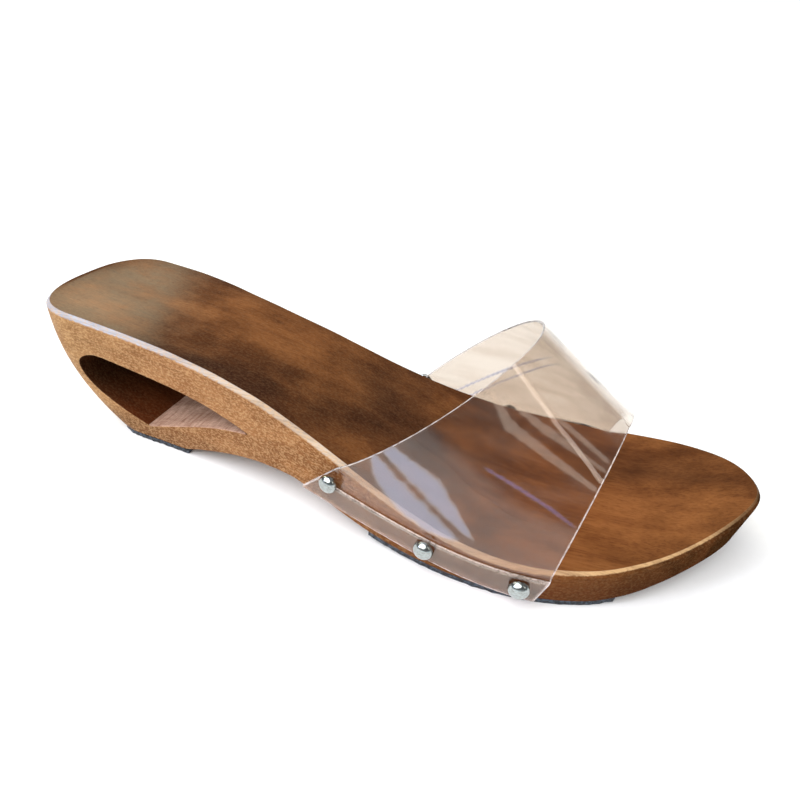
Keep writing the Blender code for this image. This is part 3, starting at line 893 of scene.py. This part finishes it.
def add_node(owner, kind, *values, named=None, output=0, **settings):
    """Add a node, set its properties, fill its inputs in order and by name, and return one output."""
    tree = owner.node_tree
    added = tree.nodes.new("ShaderNode" + kind)
    for name, value in {**DEFAULTS.get(kind, {}), **settings}.items():
        setattr(added, name, value)
    filled = list(zip([socket for socket in added.inputs if socket.enabled], values))
    filled += [(added.inputs[name], value) for name, value in (named or {}).items()]
    for socket, value in filled:
        if isinstance(value, bpy.types.NodeSocket):
            tree.links.new(value, socket)
        else:
            socket.default_value = linear(value) if isinstance(value, str) else value
    if isinstance(output, str):
        return added.outputs[output]
    offered = [socket for socket in added.outputs if socket.enabled]
    return offered[output] if offered else None


def new_material(name):
    """A new material without nodes."""
    material = bpy.data.materials.new(name)
    material.use_nodes = True
    material.node_tree.nodes.clear()
    return material


def cover(pieces, material, shader):
    """Link a shader to the material's output and put the material on pieces."""
    add_node(material, "OutputMaterial", shader)
    for piece in pieces:
        piece.data.materials.clear()
        piece.data.materials.append(material)


def coat(material, base, colour, value, *span, way="MIX"):
    """Lay a colour over a base where a value rises: the span is from, to, least share, most share."""
    share = add_node(material, "MapRange", value, *span)
    return add_node(material, "Mix", share, base, colour, blend_type=way)


def pattern(material, place, length, width, detail=3.0, roughness=0.55, seed=0.0):
    """Noise whose features are length mm along the grain and width mm across it."""
    stretch = (1 / (length * MM), 1 / (width * MM), 1 / (width * MM))
    laid = add_node(material, "Mapping", place, named={"Scale": stretch, "Location": (seed,) * 3})
    return add_node(material, "TexNoise", laid, 1.0, detail, roughness)


print("sRGB #808080 is", round(linear("#808080")[0], 3), "in linear light")

# %% [markdown]
# ## Stained hardwood
#
# The block is a fine-grained hardwood such as alder or birch, wiped with a brown spirit stain and sealed
# with a thin satin varnish. The stain soaks unevenly, so the colour is blotched. The sides are paler than the
# footbed, partly because the sanded sides have taken less stain and partly as painted light, for the sides
# stand more in the light than the top; their lower part is painted darker as shade near the floor. The filed
# rim has lost the stain, and at the heel it carries a painted bluish reflection. The network mixes these
# surfaces by the attributes stored above.

# %% Grain and blotches
wood = new_material("stained_varnished_hardwood")
wood_place = add_node(wood, "TexCoord", output="Object")
wood_x, wood_y, wood_z = add_node(wood, "SeparateXYZ", wood_place).node.outputs
sway = pattern(wood, wood_place, 60, 25, detail=1.0, seed=3.0)
sway = add_node(wood, "Math", add_node(wood, "Math", sway, 0.5, operation="SUBTRACT"), 9 * MM)
swayed = [add_node(wood, "Math", value, sway, operation="ADD") for value in (wood_y, wood_z)]
grain_place = add_node(wood, "CombineXYZ", wood_x, *swayed)
fibres = pattern(wood, grain_place, 14, 0.55, detail=3.0, roughness=0.6)
bands = pattern(wood, grain_place, 90, 7.0, detail=2.0, seed=11.0)
pores = pattern(wood, grain_place, 2.6, 0.30, detail=1.0, seed=5.0)
blotches = pattern(wood, wood_place, 15, 11, detail=4.0, roughness=0.62, seed=7.0)
flecks = pattern(wood, wood_place, 1.1, 0.7, detail=3.0, roughness=0.7, seed=1.0)
broad = pattern(wood, wood_place, 55, 38, detail=1.0, seed=2.0)
rim_away, in_dark_patch, cut_kind, cut_rim = [
    add_node(wood, "Attribute", output="Fac", attribute_name=name)
    for name in ("rim_distance", "patch_darkness", "cut_surface", "cut_edge")]
print("grain patterns run along X")

# %% Colour of the footbed
uneven = add_node(wood, "Math", broad, 0.45)
uneven = add_node(wood, "Math", blotches, 0.55, uneven, operation="MULTIPLY_ADD")
tone = add_node(wood, "MapRange", uneven, 0.36, 0.64)
toe_wear = add_node(wood, "MapRange", wood_x, 0.06, 0.10)
toe_wear = add_node(wood, "Math", toe_wear, add_node(wood, "MapRange", wood_y, -0.012, 0.010, 0.5, 0.0))
tone = add_node(wood, "Math", tone, toe_wear, operation="ADD")
footbed = add_node(wood, "Mix", tone, "#5A3418", "#82522C")
footbed = add_node(wood, "Mix", add_node(wood, "Math", in_dark_patch, 0.95), footbed, "#27130B")
near_rim = add_node(wood, "MapRange", rim_away, -9.0, 0.0, 0.0, 0.42)
near_rim = add_node(wood, "Math", near_rim, add_node(wood, "MapRange", wood_x, 0.02, 0.07, 1.0, 0.3))
footbed = add_node(wood, "Mix", near_rim, footbed, "#3F2212")
print("the footbed's stain runs from #5A3418 to #82522C")

# %% Colour of the sides, with painted light and shade
# painted light: the sides are paler than the footbed partly from sanding, partly because they stand more in
# the light than the top
side_stain_and_light = coat(wood, "#A27B52", "#9A6C46", wood_x, -0.115, -0.06)
for colour, value, *span in (
    ("#8A5830", wood_x, -0.05, 0.03),
    ("#3C220E", wood_x, 0.042, 0.120),
    ("#6E4224", blotches, 0.42, 0.66, 0.0, 0.45),
    # painted shade: the sides darken towards the floor
    ("#4A2413", wood_z, 0.003, 0.017, 0.6, 0.0),
):
    side_stain_and_light = coat(wood, side_stain_and_light, colour, value, *span)
print("the sides pale from the toe to the heel")

# %% Rubbed rim with a painted reflection at the heel, raw cut-out and their borders
rim_place = add_node(wood, "MapRange", wood_x, 0.050, 0.118, 1.08, 2.6)
ragged = add_node(wood, "Math", flecks, 0.5, operation="SUBTRACT")
ragged = add_node(wood, "Math", ragged, 1.1)
rim_place = add_node(wood, "Math", rim_away, rim_place, ragged, operation="MULTIPLY_ADD")
is_footbed = add_node(wood, "MapRange", rim_away, 0.0, 0.12, 1.0, 0.0)
rubbed = add_node(wood, "MapRange", rim_away, -0.10, 0.10)
rubbed = add_node(wood, "Math", rubbed, add_node(wood, "MapRange", rim_place, 1.15, 1.75, 1.0, 0.0))
rubbed = add_node(wood, "Math", rubbed, add_node(wood, "MapRange", wood_x, 0.108, 0.125, 1.0, 0.15))
# the bluish-white at the heel end of the rim is a painted reflection; the cream and tan beyond are bare
# rubbed wood
rim_wear_and_reflection = coat(wood, "#B4BAC8", "#C9B9A6", wood_x, -0.10, -0.02)
rim_wear_and_reflection = coat(wood, rim_wear_and_reflection, "#CCA779", wood_x, 0.03, 0.09)
rim_wear_and_reflection = coat(wood, rim_wear_and_reflection, "#9A6A40", flecks, 0.50, 0.68, 0.0, 0.22)
surface = add_node(wood, "Mix", is_footbed, side_stain_and_light, footbed)
surface = add_node(wood, "Mix", add_node(wood, "Math", rubbed, 0.86), surface, rim_wear_and_reflection)
is_cut = add_node(wood, "MapRange", cut_kind, 0.2, 0.4)
is_raw = add_node(wood, "MapRange", cut_kind, 0.7, 0.9)
saw_lines = pattern(wood, wood_place, 1.1, 9.0, detail=3.0, roughness=0.7, seed=4.0)
raw = coat(wood, "#9A7460", "#C9A793", saw_lines, 0.25, 0.75)
inside = add_node(wood, "Mix", blotches, "#291509", "#45230F")
inside = coat(wood, inside, "#5E2B10", wood_z, 0.008, 0.022, 0.7, 0.0)
inside = add_node(wood, "Mix", is_raw, inside, raw)
inside = coat(wood, inside, "#D3B593", cut_rim, 0.35, 0.95, 0.0, 0.75)
surface = add_node(wood, "Mix", is_cut, surface, inside)
print("the rim, the cut-out and its softened edge are mixed in")

# %% Grain over all the surfaces
surface = coat(wood, surface, "#5A3218", fibres, 0.40, 0.70, 0.0, 0.30, way="MULTIPLY")
surface = coat(wood, surface, "#7A4A2A", bands, 0.45, 0.62, 0.0, 0.22, way="MULTIPLY")
side_flecks = add_node(wood, "MapRange", flecks, 0.44, 0.62)
for value, *span in (
    (is_footbed, 0.0, 1.0, 0.36, 0.04),
    (wood_x, -0.02, 0.07, 1.0, 0.15),
    (is_cut, 0.0, 1.0, 1.0, 0.1),
):
    side_flecks = add_node(wood, "Math", side_flecks, add_node(wood, "MapRange", value, *span))
surface = add_node(wood, "Mix", side_flecks, surface, "#D8B080")
pore_mask = add_node(wood, "MapRange", pores, 0.66, 0.76)
surface = add_node(wood, "Mix", add_node(wood, "Math", pore_mask, 0.30), surface, "#2A150C")
print("flecks show where little stain has taken")

# %% Varnish
SATIN = 0.18
gloss = add_node(wood, "MapRange", blotches, 0.35, 0.65, SATIN - 0.05, SATIN + 0.08)
gloss = add_node(wood, "Math", rubbed, 0.14, gloss, operation="MULTIPLY_ADD")
gloss = add_node(wood, "Math", is_cut, 0.3, gloss, operation="MULTIPLY_ADD")
side_gloss = add_node(wood, "MapRange", is_footbed, 0.0, 1.0, 0.26, 0.0)
gloss = add_node(wood, "Math", gloss, side_gloss, operation="ADD")
side_shine = add_node(wood, "MapRange", wood_x, 0.03, 0.11, 0.03, 0.0)
shine = add_node(wood, "Math", is_footbed, 0.12, side_shine, operation="MULTIPLY_ADD")
relief = add_node(wood, "Math", fibres, pore_mask, operation="SUBTRACT")
relief = add_node(wood, "Math", relief, 0.5)
for height, place, depth in ((saw_lines, is_raw, 3.0), (flecks, rubbed, 1.2)):
    marks = add_node(wood, "Math", height, place)
    relief = add_node(wood, "Math", marks, depth, relief, operation="MULTIPLY_ADD")
bump = add_node(wood, "Bump", named={"Height": relief, "Strength": 0.35, "Distance": 0.12 * MM})
varnish = {"Base Color": surface, "Roughness": gloss, "IOR": 1.5, "Specular IOR Level": shine, "Normal": bump}
cover([sole], wood, add_node(wood, "BsdfPrincipled", named=varnish))
print("the wood's network has", len(wood.node_tree.nodes), "nodes")

# %% [markdown]
# ## Clear PVC
#
# The strip is cut from calendered soft PVC sheet, which is smooth, faintly smoky and glossy. Transmission
# with the plastic's own index bends what is behind it. The light that its cut edges and fold gather is
# painted on as a milky white glow, and the windows it mirrors are painted on as pale and violet streaks;
# the faint streaks are press marks in the sheet. Lamps have to shine through it as well, so shadow rays
# meet a plain tinted pass-through instead.

# %% Painted reflections and press marks on the band
# the pale and violet streaks are painted reflections of windows; the faint ones are press marks in the sheet
REFLECTIONS_AND_MARKS = {
    # place along the band from back to front, mm across it from the crest (lateral is negative), half width
    "pale": (
        ((0.00, -64.5, 1.0), (0.12, -67.0, 3.4), (0.30, -67.8, 4.4), (0.45, -67.0, 3.4), (0.57, -64.8, 0.7)),
        ((0.00, -59.0, 1.8), (0.14, -58.2, 2.8), (0.28, -57.6, 3.5), (0.44, -59.0, 2.3), (0.61, -60.8, 0.5)),
        ((0.17, 80.0, 1.7), (0.22, 65.0, 1.8), (0.27, 52.0, 1.8), (0.33, 36.0, 1.5)),
        ((0.24, 80.0, 1.5), (0.29, 65.0, 1.5), (0.34, 52.0, 1.5), (0.40, 36.0, 1.4)),
    ),
    "faint": (
        ((0.04, -25.0, 0.6), (0.28, -29.0, 1.5), (0.67, -27.5, 1.1), (1.00, -26.0, 0.6)),
        ((0.12, -24.0, 0.5), (0.46, -23.0, 1.2), (0.99, -20.0, 0.5)),
        ((0.00, -14.0, 0.7), (0.25, -17.0, 0.8), (0.48, -18.0, 0.8), (0.97, -17.0, 0.7)),
    ),
    "violet": (((0.38, -42.0, 0.4), (0.59, -40.0, 0.5), (0.80, -38.5, 0.5), (0.98, -38.0, 0.4)),),
}


STREAK_WAVER, STREAK_WAVE = 0.25, 9
STREAK_OVERRUN, STREAK_ENTRY, STREAK_LEAVE = 0.015, 0.03, 0.05
STREAK_EDGE, STREAK_SOFTNESS = 1.25, 0.5
END_GLOW, EDGE_GLOW = 0.8, 0.7


def streak_share(share, across, streak):
    """How much of a streak lies on a place of the band."""
    along, middles, widths = np.array(streak).T
    waver = 1 + STREAK_WAVER * noise.noise(Vector((share * 22, across / STREAK_WAVE, 1)))
    width = np.interp(share, along, widths) * waver
    entry = (share - along[0] + STREAK_OVERRUN) / STREAK_ENTRY
    leave = (along[-1] + STREAK_OVERRUN - share) / STREAK_LEAVE
    ends = min(1.0, max(0.0, entry), max(0.0, leave))
    away = abs(across - np.interp(share, along, middles)) / width
    return ends * max(0.0, min(1.0, (STREAK_EDGE - away) / STREAK_SOFTNESS))


crest = middle.shape[1] // 2
across_band = np.cumsum(np.linalg.norm(np.diff(middle, axis=1, prepend=middle[:, :1]), axis=2), axis=1) / MM
across_band -= across_band[:, crest:crest + 1]
band_tree = search_tree(middle.reshape(-1, 3))
shift = Vector((AHEAD, ASIDE, 0))
nearest = [band_tree.find(vertex.co - shift)[1] for vertex in band.data.vertices]
for name, streaks in REFLECTIONS_AND_MARKS.items():
    grid = np.zeros(middle.shape[:2])
    for column, step in np.ndindex(grid.shape):
        across = across_band[column, step]
        grid[column, step] = max(streak_share(shares[column], across, streak) for streak in streaks)
    store(band.data, name + "_streak", "POINT", grid.flat[nearest])
# painted highlight: a milky glow on the band's cut edges and its fold
white = np.zeros(middle.shape[:2])
white[:, :2] = white[:, -2:] = END_GLOW
for step, (row, distance, drop) in enumerate(path):
    if drop > 0:
        white[:, step] = EDGE_GLOW
white[:2] = white[-2:] = EDGE_GLOW
store(band.data, "painted_edge_glow", "POINT", white.flat[nearest])
print("streaks on the band:", sum(len(streaks) for streaks in REFLECTIONS_AND_MARKS.values()))

# %% Vinyl
vinyl = new_material("calendered_clear_pvc")
vinyl_place = add_node(vinyl, "TexCoord", output="Object")
smears = pattern(vinyl, vinyl_place, 30, 6, detail=3.0, seed=8.0)
scuffs = pattern(vinyl, vinyl_place, 1.2, 9.0, detail=2.0, seed=6.0)
nicks = pattern(vinyl, vinyl_place, 1.6, 1.6, seed=12.0)
ripple = pattern(vinyl, vinyl_place, 16, 11, detail=1.0, seed=9.0)
haze = add_node(vinyl, "MapRange", smears, 0.45, 0.75, 0.015, 0.075)
scuffed = add_node(vinyl, "MapRange", scuffs, 0.70, 0.80, 0.0, 0.12)
haze = add_node(vinyl, "Math", haze, scuffed, operation="ADD")
tint = coat(vinyl, "#E4DACF", "#DACDC0", smears, 0.40, 0.70)
# painted glow on the cut edges and the fold, broken by nicks
painted_edge_glow = add_node(vinyl, "Attribute", output="Fac", attribute_name="painted_edge_glow")
nicked = add_node(vinyl, "MapRange", nicks, 0.30, 0.60, 0.45, 1.0)
milky = add_node(vinyl, "Math", add_node(vinyl, "Math", painted_edge_glow, nicked), 0.5)
# pale and violet: painted reflections; faint: press marks
for name, colour, strength in (
    ("pale", "#C0C0CE", 0.22),
    ("faint", "#D8C8B8", 0.10),
    ("violet", "#C3B4DE", 0.08),
):
    streak = add_node(vinyl, "Attribute", output="Fac", attribute_name=name + "_streak")
    tint = add_node(vinyl, "Mix", streak, tint, colour)
    milky = add_node(vinyl, "Math", milky, add_node(vinyl, "Math", streak, strength), operation="MAXIMUM")
tint = add_node(vinyl, "Mix", add_node(vinyl, "Math", painted_edge_glow, nicked), tint, "#F2EEF2")
smoke = add_node(vinyl, "MapRange", smears, 0.35, 0.70, 0.0, 0.02)
milky = add_node(vinyl, "Math", milky, smoke, operation="ADD")
clarity = add_node(vinyl, "Math", 1.0, milky, operation="SUBTRACT")
plastic = add_node(vinyl, "BsdfPrincipled", named={
    "Base Color": tint,
    "Roughness": haze,
    "IOR": 1.53,
    "Specular IOR Level": 0.05,
    "Transmission Weight": clarity,
    "Normal": add_node(vinyl, "Bump", named={"Height": ripple, "Strength": 0.35, "Distance": 0.4 * MM}),
})
lamp_light = add_node(vinyl, "LightPath", output="Is Shadow Ray")
through = add_node(vinyl, "BsdfTransparent", "#F2EEF0")
cover([band], vinyl, add_node(vinyl, "MixShader", lamp_light, plastic, through))
print("vinyl IOR 1.53")

# %% [markdown]
# ## Black rubber and nickel plate
#
# The treads are solid black sole rubber, pebbled beneath, with a dusty bluish bloom on the knife-cut edge.
# The nail heads are steel, stamped, barrel-polished and plated with bright nickel, with tiny scratches; the
# plate's faint blue-green cast is a painted reflection of the bluish window.

# %% Rubber
rubber = new_material("pebbled_sole_rubber")
rubber_place = add_node(rubber, "TexCoord", output="Object")
dust = pattern(rubber, rubber_place, 1.4, 1.1, detail=4.0, roughness=0.75, seed=2.0)
pebbles = add_node(rubber, "TexVoronoi", rubber_place, named={"Scale": 1 / (1.1 * MM)})
rubber_colour = coat(rubber, "#17181B", "#4A5460", dust, 0.42, 0.62)
rubber_colour = coat(rubber, rubber_colour, "#C9D2DA", dust, 0.66, 0.74)
relief = add_node(rubber, "Math", pebbles, dust, operation="ADD")
cover([heel_tread, fore_tread], rubber, add_node(rubber, "BsdfPrincipled", named={
    "Base Color": rubber_colour,
    "Roughness": add_node(rubber, "MapRange", dust, 0.3, 0.7, 0.62, 0.85),
    "Normal": add_node(rubber, "Bump", named={"Height": relief, "Strength": 0.7, "Distance": 0.25 * MM}),
}))
print("pebbles 1.1 mm apart")

# %% Nickel
nickel = new_material("bright_nickel_plate")
nickel_place = add_node(nickel, "TexCoord", output="Object")
wear = pattern(nickel, nickel_place, 0.9, 0.25, detail=3.0, seed=4.0)
cover(nails, nickel, add_node(nickel, "BsdfPrincipled", named={
    # the plate's faint blue-green cast is a painted reflection of the bluish window
    "Base Color": coat(nickel, "#B4BDBD", "#8A8984", wear, 0.4, 0.7),
    "Metallic": 1.0,
    "Roughness": add_node(nickel, "MapRange", wear, 0.35, 0.70, 0.10, 0.22),
    "Normal": add_node(nickel, "Bump", named={"Height": wear, "Strength": 0.12, "Distance": 0.1 * MM}),
}))
print("nickel keeps the default IOR")

# %% [markdown]
# ## Studio
#
# The photograph has a plain white ground and daylight from windows. A wide sheet of white paper is the floor,
# and beyond it the room is white at the horizon and dims upward, so that the clear band and the satin wood
# mirror a quiet room. A soft sun lights the paper evenly, and soft boxes stand where the footbed, the band
# and the nails mirror a window.

# %% Floor
FLOOR_REACH = 40.0
AROUND = 64
points = []
for reach in (0.0, 1.0, FLOOR_REACH):
    for angle in np.linspace(0, 2 * math.pi, AROUND, endpoint=False):
        points.append((reach * math.cos(angle), reach * math.sin(angle), 0.0))
floor = make_object("floor", points, sheet_faces(3, AROUND, closed=True))
studio = new_material("white_paper_roll")
tooth = pattern(studio, add_node(studio, "TexCoord", output="Object"), 3, 3, detail=2.0)
cover([floor], studio, add_node(studio, "BsdfPrincipled", named={
    "Base Color": add_node(studio, "Mix", tooth, "#F4F4F4", "#F8F8F8"),
    "Roughness": 0.9,
    "Specular IOR Level": 0.1,
}))
print("the floor reaches", FLOOR_REACH, "m")

# %% Room
HORIZON, ROOM = 1.15, 0.20
WHITE_TO, DIM_FROM = math.sin(math.radians(2.5)), math.sin(math.radians(13))
bpy.context.scene.view_settings.view_transform = "Standard"
room = bpy.data.worlds.new("room")
room.use_nodes = True
height = add_node(room, "SeparateXYZ", add_node(room, "TexCoord", output="Generated"), output="Z")
dimming = add_node(room, "MapRange", height, WHITE_TO, DIM_FROM, HORIZON, ROOM)
background = room.node_tree.nodes["Background"]
background.inputs["Color"].default_value = linear("#F1F4F8")
room.node_tree.links.new(dimming, background.inputs["Strength"])
bpy.context.scene.world = room
print("the room dims from", HORIZON, "to", ROOM)


# %% Lamps
SUN_STRENGTH = 3.95
SUN_WIDTH = math.radians(70)


def aim(lamp_object, place, target, roll=0.0):
    """Stand a lamp at a place, turn it to a target and roll it."""
    turn = (target - place).to_track_quat("-Z", "Y").to_matrix().to_4x4()
    lamp_object.matrix_world = Matrix.Translation(place) @ turn @ Matrix.Rotation(roll, 4, "Z")
    bpy.context.scene.collection.objects.link(lamp_object)


sun = bpy.data.lights.new("soft_sun", "SUN")
sun.energy = SUN_STRENGTH
sun.angle = SUN_WIDTH
aim(bpy.data.objects.new("soft_sun", sun), Vector((-0.8, -1.3, 2.4)), Vector((0, 0, 0)))


def soft_box(name, toward, distance, size, radiance, target, colour, roll=0.0):
    """A rectangle of light in a direction from its target, bright by its radiance."""
    lamp = bpy.data.lights.new(name, "AREA")
    lamp.shape = "RECTANGLE"
    lamp.size, lamp.size_y = size
    lamp.energy = radiance * math.pi * lamp.size * lamp.size_y
    lamp.color = linear(colour)[:3]
    target = Vector(target)
    aim(bpy.data.objects.new(name, lamp), target + Vector(toward).normalized() * distance, target, roll)


WINDOWS = (
    # name, direction, distance, size, radiance, target, colour, roll
    ("window_behind", (-0.697, 0.464, 0.545), 1.2, (0.50, 0.80), 3.1, (-0.09, 0, 0.05), "#FFF7CF", -40),
    ("window_left", (-0.61, -0.507, 0.586), 1.2, (0.16, 0.9), 7.0, (0.02, -0.03, 0.04), "#D5DCF0", 0),
    ("window_right", (0.76, -0.18, 0.62), 1.3, (0.10, 0.7), 4.0, (0.05, 0.0, 0.05), "#F2E8DC", 0),
)
for *window, roll in WINDOWS:
    soft_box(*window, math.radians(roll))

# %% [markdown]
# ## Camera
#
# The photograph was taken from above the lateral side, close up with a wide lens, and tipped a little. The
# camera is placed by its own spot, the way it faces, how far it looks down and how far it rolls.

# %% Set the camera up
CAMERA_PLACE = Vector((57.37, -157.15, 142.90)) * MM
HEADING = math.radians(16.85)
LOOKING_DOWN = math.radians(34.01)
ROLL = math.radians(4.89)
FOCAL_LENGTH = 25.32
flat = math.cos(LOOKING_DOWN)
ahead = Vector((-math.sin(HEADING) * flat, math.cos(HEADING) * flat, -math.sin(LOOKING_DOWN)))
level = Vector((math.cos(HEADING), math.sin(HEADING), 0.0))
right = level * math.cos(ROLL) + level.cross(ahead) * math.sin(ROLL)
lens = bpy.data.cameras.new("camera")
lens.lens = FOCAL_LENGTH
lens.clip_start = 5 * MM
lens.clip_end = 100
camera = bpy.data.objects.new("camera", lens)
facing = Matrix((right, right.cross(ahead), -ahead)).transposed().to_4x4()
camera.matrix_world = Matrix.Translation(CAMERA_PLACE) @ facing
bpy.context.scene.collection.objects.link(camera)
bpy.context.scene.camera = camera
print("the camera faces", [round(value, 3) for value in ahead])
